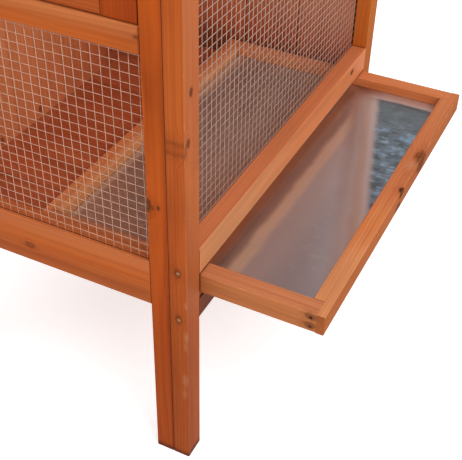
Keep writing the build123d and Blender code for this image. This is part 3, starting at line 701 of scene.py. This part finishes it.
class Shape:
    """The points and faces of a piece in the making."""

    def __init__(self):
        self.points = []
        self.faces = []

    def walls(self, first, rows, sides):
        """Faces between rings of points, each ring with the next."""
        for low in range(first, first + rows * sides, sides):
            for k in range(sides):
                after = (k + 1) % sides
                self.faces.append((low + k, low + after, low + sides + after, low + sides + k))

    def cap(self, first, sides):
        """The face that closes the lower end of a ring of points."""
        self.faces.append(tuple(first + k for k in reversed(range(sides))))

    def fill(self, first, loops):
        """Level faces that look up, inside an outline and outside the others in it."""
        points = sum(loops, [])
        for face in tessellate_polygon(loops):
            a, b, c = (points[i] for i in face)
            looks_up = (b - a).cross(c - a).z > 0
            self.faces.append(tuple(first + i for i in (face if looks_up else reversed(face))))

    def tube(self, path, side, radius, sides):
        """A closed tube along a path that keeps nearly square to side."""
        first = len(self.points)
        last = len(path) - 1
        for i, point in enumerate(path):
            ahead = path[min(i + 1, last)] - path[max(i - 1, 0)]
            other = ahead.normalized().cross(side)
            for turn in steps_round(sides):
                self.points.append(point + radius * (math.cos(turn) * side + math.sin(turn) * other))
        self.walls(first, last, sides)
        self.cap(first, sides)
        self.faces.append(tuple(first + last * sides + k for k in range(sides)))

    def turned(self, profile, spot, sides):
        """A round shape about the Z axis of a spot, from (radius, height) steps that end on the axis."""
        first = len(self.points)
        for radius, height in profile[:-1]:
            self.points.extend(spot @ point for point in circle(radius, height, sides))
        last = len(profile) - 2
        self.walls(first, last, sides)
        top = len(self.points)
        self.points.append(spot @ Vector((0, 0, profile[-1][1])))
        ring = first + last * sides
        for k in range(sides):
            self.faces.append((ring + k, ring + (k + 1) % sides, top))
        self.cap(first, sides)

    def piece(self, name, body, slot, material):
        mesh = bpy.data.meshes.new(name)
        mesh.from_pydata(self.points, [], self.faces)
        mesh.validate()
        mesh.shade_smooth()
        mesh.set_sharp_from_angle(angle=SHARP_ANGLE)
        mesh.materials.append(material)
        made = bpy.data.objects.new(name, mesh)
        bpy.context.scene.collection.objects.link(made)
        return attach(made, body)


def welded_net(node, body, through, material):
    """Square welded mesh in the place of a flat net, with a layer of wires each way."""
    low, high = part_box(node)
    flat = [axis for axis in range(3) if axis != through]
    middle = (low[through] + high[through]) / 2
    dice = random.Random(node)
    shape = Shape()
    for lay, (run, step) in zip((-1, 1), (reversed(flat), flat)):
        count = int((high[step] - low[step] - NET_SELVEDGE - WIRE_RADIUS) / MESH_PITCH)
        for i in range(count + 1):
            line = low[step] + NET_SELVEDGE + i * MESH_PITCH
            swing = dice.uniform(0, 2 * math.pi)
            path = []
            for j in range(WIRE_SPANS + 1):
                share = j / WIRE_SPANS
                aside = WIRE_WAVER * math.sin(swing + WIRE_SWING * share)
                deeper = WIRE_WAVER_DEEP * math.sin(2 * swing + WIRE_SWING_DEEP * share)
                path.append(point_at(
                    (run, low[run] + share * (high[run] - low[run])),
                    (step, line + aside),
                    (through, middle + lay * WIRE_LAYER + deeper),
                ))
            shape.tube(path, unit(step), WIRE_RADIUS, WIRE_SIDES)
    made = shape.piece(f"{node}_wires", body, "wire_mesh", material)
    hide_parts(node)


def staples(node, body, through, outward, opening, material):
    """Staples that hold a net on the inner side of its frame, all round the opening."""
    low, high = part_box(node)
    flat = [axis for axis in range(3) if axis != through]
    surface = high[through] if outward > 0 else low[through]
    crown = surface + outward * STAPLE_RADIUS
    root = surface - outward * STAPLE_LEG
    knee = crown - outward * STAPLE_BEND
    half = 0.5 * STAPLE_CROWN
    leg = [(-half, root), (-half, knee), (STAPLE_BEND - half, crown)]
    outline = leg + [(-shift, height) for shift, height in reversed(leg)]
    shape = Shape()
    for run, step in (flat, flat[::-1]):
        length = opening[1][run] - opening[0][run]
        count = round(length / STAPLE_STEP)
        for i in range(count):
            middle = opening[0][run] + (i + 0.5) * length / count
            for line in ((low[step] + opening[0][step]) / 2, (high[step] + opening[1][step]) / 2):
                path = [
                    point_at((run, middle + shift), (step, line), (through, height))
                    for shift, height in outline
                ]
                shape.tube(path, unit(step), STAPLE_RADIUS, WIRE_SIDES)
    shape.piece(f"{node}_staples", body, "screws", material)


def screw_heads(node):
    """Where each screw of a node has its head, which way it looks, and the screw's sizes."""
    found = []
    for low, high, points in islands(node):
        size = high - low
        axis = max(range(3), key=lambda i: size[i])
        middle = (low + high) / 2
        spread = {}
        for end in (low[axis], high[axis]):
            rim = [point for point in points if abs(point[axis] - end) < SAME_PLANE]
            spread[end] = max((point - middle).cross(unit(axis)).length for point in rim)
        face = max(spread, key=spread.get)
        outward = unit(axis) * (1 if face == high[axis] else -1)
        middle[axis] = face
        found.append(ScrewHead(middle, outward, spread[face], min(spread.values()), size[axis]))
    return found


def cross_screws(node, body, material, sunk):
    """Countersunk screws with a cross recess, each in the place of its plain solid and driven in."""
    shape = Shape()
    for screw in screw_heads(node):
        spot = standing(screw.point - sunk * screw.outward, screw.outward)
        add_cross_screw(shape, spot, screw.head - sunk, screw.shank, screw.length - sunk)
    made = shape.piece(f"{node}_crossed", body, "screws", material)
    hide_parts(node)


def add_cross_screw(shape, spot, head, shank, length):
    """One screw whose head lies on the spot and whose shank goes down from it."""
    arm = RECESS_ARM * head
    slot = RECESS_SLOT * head
    cross = []
    for quarter in range(4):
        turn = Matrix.Rotation(quarter * math.pi / 2, 3, "Z")
        for x, y in ((arm, -slot), (arm, slot), (slot, slot)):
            cross.append(turn @ Vector((x, y, 0)))
    floor = [point * RECESS_TAPER - Vector((0, 0, RECESS_DEPTH * head)) for point in cross]
    tip = circle(shank, -length, SCREW_SIDES)
    cone = circle(shank, shank - head, SCREW_SIDES)
    rim = circle(head, 0, SCREW_SIDES)
    first = len(shape.points)
    at_rim = first + 2 * SCREW_SIDES
    at_cross = at_rim + SCREW_SIDES
    for point in tip + cone + rim + cross + floor:
        shape.points.append(spot @ point)
    shape.cap(first, SCREW_SIDES)
    shape.walls(first, 2, SCREW_SIDES)
    shape.fill(at_rim, [rim, cross])
    shape.walls(at_cross, 1, len(cross))
    shape.fill(at_cross + len(cross), [floor])


def heads(name, body, material, spots, radius, rise):
    """Low domed nail heads."""
    profile = [(across * radius, up * rise) for across, up in HEAD_PROFILE]
    shape = Shape()
    for spot in spots:
        shape.turned(profile, spot, HEAD_SIDES)
    shape.piece(name, body, "screws", material)


def felt_clouts():
    """Spots of the clout nails round the edge of the felt."""
    mesh = nodes["roof_felt"].data
    top = max(mesh.polygons, key=lambda face: face.normal.z * face.area)
    normal = top.normal.copy()
    middle = top.center.copy()
    low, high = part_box("roof_felt")
    spots = []
    for run, step in ((X, Y), (Y, X)):
        length = high[run] - low[run] - 2 * CLOUT_INSET
        count = round(length / CLOUT_STEP)
        for i in range(count + 1) if run == X else range(1, count):
            for line in (low[step] + CLOUT_INSET, high[step] - CLOUT_INSET):
                point = point_at((run, low[run] + CLOUT_INSET + i * length / count), (step, line))
                slope = normal.x * (point.x - middle.x) + normal.y * (point.y - middle.y)
                point.z = middle.z - slope / normal.z
                spots.append(standing(point, normal))
    return spots


def board_pins(node, through, outward, board_axis, rails, level=PIN_LEVEL):
    """Spots of the pins that hold each board to its rails, at a share of each rail's height."""
    spots = []
    for low, high, _ in islands(node):
        for rail in rails:
            rail_low, rail_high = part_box(rail)
            for share in PIN_SHARES:
                point = rail_low.lerp(rail_high, level)
                point[board_axis] = low[board_axis] + share * (high[board_axis] - low[board_axis])
                point[through] = high[through] if outward > 0 else low[through]
                spots.append(standing(point, unit(through) * outward))
    return spots


def paint_node(node, material):
    nodes[node].data.materials.clear()
    nodes[node].data.materials.append(material)


# Timber, each piece with its own cut of the tree

TIMBER_TONES = {
    "front_stile_right": RED,
    "front_stile_left": RED,
    "right_front_stile": RUSSET,
    "right_back_stile": RUSSET,
    "right_bottom_rail": SHADED,
    "front_mid_rail": RUSSET,
    "front_bottom_rail": RUSSET,
    "tray_front_bar": PALE,
    "tray_back_bar": FADED,
    "tray_outer_bar": FADED,
    "tray_inner_bar": FADED,
    "door_stile_right": DEEP_RED,
    "door_bottom_rail": DULL_RED,
}
# Painted shade in the seam between the leg's two timbers and in the gap at the mid rail's end
SEAM_SHADE = (0.20, 0.032, 0.004)
ALL_OVER = (Z, -0.2, -0.1)
CASTS = {
    # Painted light on the mid rail's top, and painted shade in the gap at its right end
    "front_mid_rail": [
        Cast((0.62, 0.23, 0.085), Z, 0.640, 0.664, 0.46),
        Cast(SEAM_SHADE, X, 0.1125, 0.1160, 0.75, Y),
    ],
    # Lighter towards the rail's top and darker towards its bottom
    "front_bottom_rail": [
        Cast((0.54, 0.205, 0.095), Z, 0.316, 0.346, 0.30),
        Cast((0.30, 0.080, 0.022), Z, 0.330, 0.290, 0.50),
    ],
    # Painted light on the rail's outer face and top
    "right_tray_rail": [
        Cast((0.80, 0.280, 0.115), Y, -0.45, -0.15, 0.68, X),
        Cast((0.61, 0.320, 0.150), Y, 0.06, -0.24, 0.45, X),
        Cast((0.667, 0.226, 0.100), *ALL_OVER, 0.60, Z),
    ],
    # Painted light on the leg's side above the tray, and painted shade in the seam between its two
    # timbers
    "right_front_stile": [
        Cast((0.46, 0.185, 0.085), Z, 0.250, 0.300, 0.28, X),
        Cast(SEAM_SHADE, X, LEG_SEAM + 0.004, LEG_SEAM, 0.40, Y),
    ],
    # Painted shade in the seam between the leg's two timbers
    "front_stile_right": [Cast(SEAM_SHADE, X, LEG_SEAM - 0.005, LEG_SEAM, 0.45, Y)],
    # Painted light on the back stile's front and side faces
    "right_back_stile": [
        Cast((0.75, 0.209, 0.039), *ALL_OVER, 0.60, Y),
        Cast((0.52, 0.159, 0.018), *ALL_OVER, 0.60, X),
    ],
    # Painted light on the bar's side towards the sheet
    "tray_inner_bar": [Cast((0.78, 0.38, 0.17), X, -0.075, -0.060, 0.50)],
    # Painted shade on the outer bar's outer face, and painted light and shade along its top
    "tray_outer_bar": [
        Cast((0.33, 0.080, 0.017), *ALL_OVER, 0.70, X),
        Cast((0.71, 0.338, 0.156), Y, -0.10, -0.20, 0.45, Z),
        Cast((0.38, 0.130, 0.075), Y, -0.10, 0.00, 0.30, Z),
    ],
    # Painted light on the bar's top, and painted shade on its front and back faces
    "tray_front_bar": [
        Cast((0.62, 0.26, 0.135), Z, 0.300, 0.310, 0.38, Z),
        Cast((0.44, 0.164, 0.059), *ALL_OVER, 0.48, Y),
    ],
    # Painted light on the wall's front part and painted shade deeper in the cabinet
    "left_boards": [
        Cast((0.80, 0.268, 0.105), Y, 0.18, -0.06, 0.88),
        Cast((0.62, 0.210, 0.086), Y, -0.08, -0.16, 0.60),
        Cast(BOARD.deep, Y, 0.08, 0.24, 0.52),
    ],
    # Painted light and shade over the floor inside the cabinet, darker towards its front and back
    "floor_boards": [
        Cast((0.66, 0.230, 0.085), X, -0.220, -0.255, 0.20),
        Cast((0.30, 0.082, 0.038), Y, -0.16, -0.28, 0.36),
        Cast((0.24, 0.036, 0.010), Y, -0.04, 0.10, 0.30),
    ],
    # Painted light on the wall's upper part and painted shade along its bottom above the tray
    "back_boards": [
        Cast(BOARD.worn, Z, 0.35, 0.42, 0.60),
        Cast(BOARD.deep, Z, 0.365, 0.315, 0.62),
    ],
}
OUTER_STAIN = (0.63, 0.170, 0.044)
OUTER_GRAIN = 0.54
OUTER_EDGES = (0.2, 0.8)
OUTER_SHARE = 0.85


def outer_side(node, axis, outward):
    """A cast of plain stain over the outer side of a wall."""
    low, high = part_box(node)
    inner, outer = (low[axis], high[axis]) if outward > 0 else (high[axis], low[axis])
    start, end = ((1 - share) * inner + share * outer for share in OUTER_EDGES)
    return Cast(OUTER_STAIN, axis, start, end, OUTER_SHARE, grain=OUTER_GRAIN)


CASTS["left_boards"].append(outer_side("left_boards", X, -1))
CASTS["back_boards"].append(outer_side("back_boards", Y, 1))
# Timbers with less of the joints' stain and painted shade
WEAK_JOINT_SHADE = {
    "front_mid_rail": 0.25,
    "door_bottom_rail": 0.20,
    "door_stile_right": 0.20,
    "left_boards": 0.15,
    "floor_boards": 0.15,
}
MATT_TIMBERS = {"tray_outer_bar": 0.01, "right_back_stile": 0.03}
TIMBER_WORDS = ("_rail", "_stile", "_bar", "roof_trim")
PLAIN_TIMBERS = [node for node in nodes if any(word in node for word in TIMBER_WORDS)]
SEEN_KNOTS = {
    "right_front_stile": [
        Knot((RIGHT, -0.3171, 0.5954), 0.0030),
        Knot((RIGHT, -0.3345, 0.5284), 0.0058, 0.08, 0.27, X),
        Knot((RIGHT, -0.3249, 0.5350), 0.0036, 0.75, 0.4),
    ],
    "front_stile_right": [
        Knot((0.1172, FRONT, 0.4386), 0.0052, 0.95, 0.4),
        Knot((0.1240, FRONT, 0.4370), 0.0024, 0.60, 0.2),
        Knot((0.1316, FRONT, 0.4390), 0.0020, 0.90, 0.5),
    ],
    "right_tray_rail": [Knot((RIGHT, 0.2358, 0.3517), 0.0036)],
    "front_mid_rail": [Knot((0.1125, FRONT, 0.6520), 0.0018, 0.55, 0.3)],
    "front_bottom_rail": [Knot((-0.0686, FRONT, 0.3064), 0.0044, 0.45, 0.3)],
    "tray_outer_bar": [
        Knot((OUTER, 0.0900, 0.3150), 0.0125, 0.85, 0.25),
        Knot((OUTER, -0.0050, 0.3200), 0.0056, 1.0, 0.9),
        Knot((OUTER, -0.0154, 0.3000), 0.0058),
    ],
}
SEEN_SCUFFS = {
    "right_front_stile": [
        Scuff((0.1665, FRONT, 0.297), 0.0036, 0.34),
        Scuff((0.1665, FRONT, 0.242), 0.0058, 0.46),
        Scuff((0.1655, FRONT, 0.224), 0.0046, 0.32),
        Scuff((0.1640, FRONT, 0.160), 0.0068, 0.40),
        Scuff((0.1630, FRONT, 0.132), 0.0060, 0.28),
    ],
    "tray_outer_bar": [Scuff((0.3286, 0.0615, 0.3243), 0.0085, 0.40)],
}
DRIVEN_GROUPS = ("frame_screws", "corner_screws", "door_screws", "tray_nails")
DRIVEN_SCREWS = [screw for group in DRIVEN_GROUPS for screw in screw_heads(group)]


def screw_hole_shade(node):
    """Painted shade round the screws and nails whose heads lie in a timber's faces, set a little above
    each head.
    """
    low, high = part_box(node)
    found = []
    for screw in DRIVEN_SCREWS:
        if all(low[i] - JOINT_REACH < screw.point[i] < high[i] + JOINT_REACH for i in range(3)):
            found.append(Knot(tuple(screw.point + HOLE_SHADE_RISE), HOLE_SHADE_RADIUS, HOLE_SHADE_CORE, HOLE_SHADE_RIM))
    return found


def longest(node):
    low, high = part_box(node)
    return max(range(3), key=lambda axis: high[axis] - low[axis])


def chance_knots(node, grain):
    """A few knots on the faces of a timber."""
    low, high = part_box(node)
    dice = random.Random(f"{node} knots")
    found = []
    for _ in range(dice.randint(*CHANCE_KNOTS)):
        point = Vector(dice.uniform(low[axis], high[axis]) for axis in range(3))
        face = dice.choice([axis for axis in range(3) if axis != grain])
        point[face] = dice.choice((low[face], high[face]))
        found.append(Knot(tuple(point), dice.uniform(*CHANCE_KNOT_RADII)))
    return found


def wood(node, tone, grain, knots=(), board_axis=None, squared=True, kind="fir"):
    """Paints a piece of timber, from its grain to what wears and darkens it."""
    timber = Timber(f"{kind}_{node}", node, tone, grain, board_axis)
    marks = timber.find_knots(knots)
    late = timber.late_wood(marks[0])
    depth = timber.stain_depth(late)
    timber.stain(depth)
    for cast in CASTS.get(node, ()):
        timber.cast(cast, depth)
    if knots or board_axis is not None:
        timber.dark_knots(*marks)
    timber.dark_ends()
    if squared:
        timber.worn_edges()
    for scuff in SEEN_SCUFFS.get(node, ()):
        timber.bare_scuff(scuff)
    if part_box(node)[0].z < FOOT_DIRT:
        timber.dark_foot()
    timber.dark_joints(WEAK_JOINT_SHADE.get(node, JOINT_STAIN_AND_SHADE))
    grooves = timber.calc("MULTIPLY_ADD", late, LATE_GROOVES, timber.fibre)
    timber.bump(grooves, strength=0.35, distance=0.0007)
    roughness = timber.span(timber.fibre, *WOOD_ROUGHNESS)
    gloss = MATT_TIMBERS.get(node, WOOD_GLOSS)
    paint_node(node, timber.finish(timber.color, roughness, gloss))


for timber in PLAIN_TIMBERS:
    run = longest(timber)
    knots = (SEEN_KNOTS.get(timber) or chance_knots(timber, run)) + screw_hole_shade(timber)
    wood(timber, TIMBER_TONES.get(timber, ORANGE), run, knots)
for wall, run, board_axis in (
    ("left_boards", Z, Y),
    ("back_boards", Z, X),
    ("floor_boards", X, Y),
    ("roof_boards", X, Y),
):
    wood(wall, BOARD, run, board_axis=board_axis)
for perch in ("perch_front", "perch_back"):
    wood(perch, BEECH, X, squared=False, kind="beech")
wood("perch_holders", ORANGE, Z)
wood("door_knob", PALE, Y, squared=False)
wood("turn_button", PALE, Z)

# Metal and felt

bright_wire = zinc("galvanised_wire", (0.52, 0.385, 0.32), (0.41, 0.30, 0.245), metallic=0.45)
rusty_wire = zinc("rusty_wire", (0.58, 0.350, 0.255), (0.46, 0.265, 0.185), metallic=0.45)
plated = zinc("zinc_plate", (0.50, 0.46, 0.40), (0.30, 0.265, 0.22))
stained_zinc = zinc("stained_screws", (0.50, 0.285, 0.155), (0.27, 0.145, 0.075))
nail_iron = zinc("nail_iron", (0.30, 0.25, 0.21), (0.13, 0.085, 0.06), metallic=0.6)
dark_iron = zinc(
    "tray_nail_iron", (0.105, 0.036, 0.020), (0.045, 0.015, 0.009), metallic=0.0, specular=0.06,
)
paint_node("tray_sheet", galvanised_sheet("galvanised_sheet"))
paint_node("roof_felt", felt("roof_felt"))
paint_node("tray_nails", dark_iron)
for fitting in nodes:
    if fitting.startswith("hinge_") and not fitting.endswith("screws"):
        paint_node(fitting, plated)
paint_node("button_screw", plated)

# Wire nets and what holds them

welded_net("front_mesh", "cabinet", Y, rusty_wire)
welded_net("right_mesh", "cabinet", X, bright_wire)
welded_net("door_mesh", "door", Y, rusty_wire)
side_opening = (
    Vector((0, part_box("right_front_stile")[1].y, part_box("right_tray_rail")[1].z)),
    Vector((0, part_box("right_back_stile")[0].y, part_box("right_top_rail")[0].z)),
)
staples("right_mesh", "cabinet", X, -1, side_opening, bright_wire)
door_opening = (
    Vector((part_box("door_stile_left")[1].x, 0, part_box("door_bottom_rail")[1].z)),
    Vector((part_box("door_stile_right")[0].x, 0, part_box("door_top_rail")[0].z)),
)
staples("door_mesh", "door", Y, 1, door_opening, bright_wire)

# Screws and nails

for group, body, material, sunk in (
    ("frame_screws", "cabinet", stained_zinc, SCREW_SUNK),
    ("corner_screws", "cabinet", stained_zinc, SCREW_SUNK),
    ("hinge_frame_screws", "cabinet", plated, 0.0),
    ("hinge_door_screws", "door", plated, 0.0),
    ("door_screws", "door", stained_zinc, SCREW_SUNK),
    ("knob_screw", "door", plated, 0.0),
):
    cross_screws(group, body, material, sunk)

heads("felt_clouts", "cabinet", nail_iron, felt_clouts(), CLOUT_RADIUS, CLOUT_RISE)
pins = board_pins("left_boards", X, 1, Y, ("left_mid_rail", "left_top_rail"))
pins += board_pins("back_boards", Y, -1, X, ("back_top_rail",))
pins += board_pins("back_boards", Y, -1, X, ("back_bottom_rail",), PIN_LEVEL_OVER_TRAY)
heads("board_pins", "cabinet", nail_iron, pins, PIN_RADIUS, PIN_RISE)

# Stage, light and camera

FLOOR_HALF = 14.0
FLOOR_DROP = 0.0003
FLOOR_GREY = (0.86, 0.86, 0.86, 1.0)
FLOOR_GLOW = 0.46
WORLD_LIGHT = 0.85


def seen_directly(graph):
    """1 for what the camera sees, also in a mirror or through glass, and 0 for light on the object."""
    rays = graph.node("ShaderNodeLightPath", {})
    share = graph.calc("MAXIMUM", rays["Is Camera Ray"], rays["Is Glossy Ray"])
    return graph.calc("MAXIMUM", share, rays["Is Transmission Ray"])


def pale_floor():
    corners = [(-1, -1), (1, -1), (1, 1), (-1, 1)]
    points = [(x * FLOOR_HALF, y * FLOOR_HALF, -FLOOR_DROP) for x, y in corners]
    mesh = bpy.data.meshes.new("pale_floor")
    mesh.from_pydata(points, [], [(0, 1, 2, 3)])
    made = bpy.data.objects.new("pale_floor", mesh)
    bpy.context.scene.collection.objects.link(made)
    paint = Paint("pale_floor")
    paint.finish(FLOOR_GREY, roughness=0.9, specular=0.0)
    paint.feed(paint.shader.inputs["Emission Color"], WHITE)
    glow = paint.times(seen_directly(paint), FLOOR_GLOW)
    paint.feed(paint.shader.inputs["Emission Strength"], glow)
    mesh.materials.append(paint.material)


def white_world():
    """White where it is seen, and a little dimmer as light on the object."""
    world = bpy.data.worlds.new("white_room")
    bpy.context.scene.world = world
    world.use_nodes = True
    graph = Graph(world.node_tree)
    back = world.node_tree.nodes["Background"]
    graph.feed(back.inputs["Color"], WHITE)
    graph.feed(back.inputs["Strength"], graph.span(seen_directly(graph), WORLD_LIGHT, 1.0))


def softbox(name, place, target, size, watts):
    """A square lamp that looks at a target."""
    light = bpy.data.lights.new(name, "AREA")
    light.shape = "SQUARE"
    light.size = size
    light.energy = watts
    made = bpy.data.objects.new(name, light)
    made.matrix_world = standing(Vector(place), Vector(place) - Vector(target))
    bpy.context.scene.collection.objects.link(made)


def photo_camera():
    """A camera turned by azimuth, elevation and roll, as the photograph was taken."""
    lens = bpy.data.cameras.new("photo_camera")
    lens.sensor_width = SENSOR_MM
    lens.lens = FOCAL_PX / IMAGE_WIDTH_PX * SENSOR_MM
    made = bpy.data.objects.new("photo_camera", lens)
    made.matrix_world = (
        Matrix.Translation(CAMERA_PLACE)
        @ Matrix.Rotation(CAMERA_AZIMUTH, 4, "Z")
        @ Matrix.Rotation(math.pi / 2 - CAMERA_ELEVATION, 4, "X")
        @ Matrix.Rotation(-CAMERA_ROLL, 4, "Z")
    )
    bpy.context.scene.collection.objects.link(made)
    bpy.context.scene.camera = made


pale_floor()
white_world()
softbox("key_light", place=(2.2, -1.1, 2.9), target=(0.05, -0.1, 0.5), size=2.2, watts=50)
softbox("fill_light", place=(-0.9, -2.2, 2.6), target=(0.0, -0.2, 0.5), size=2.2, watts=14)
photo_camera()
bpy.context.scene.view_settings.view_transform = "Standard"
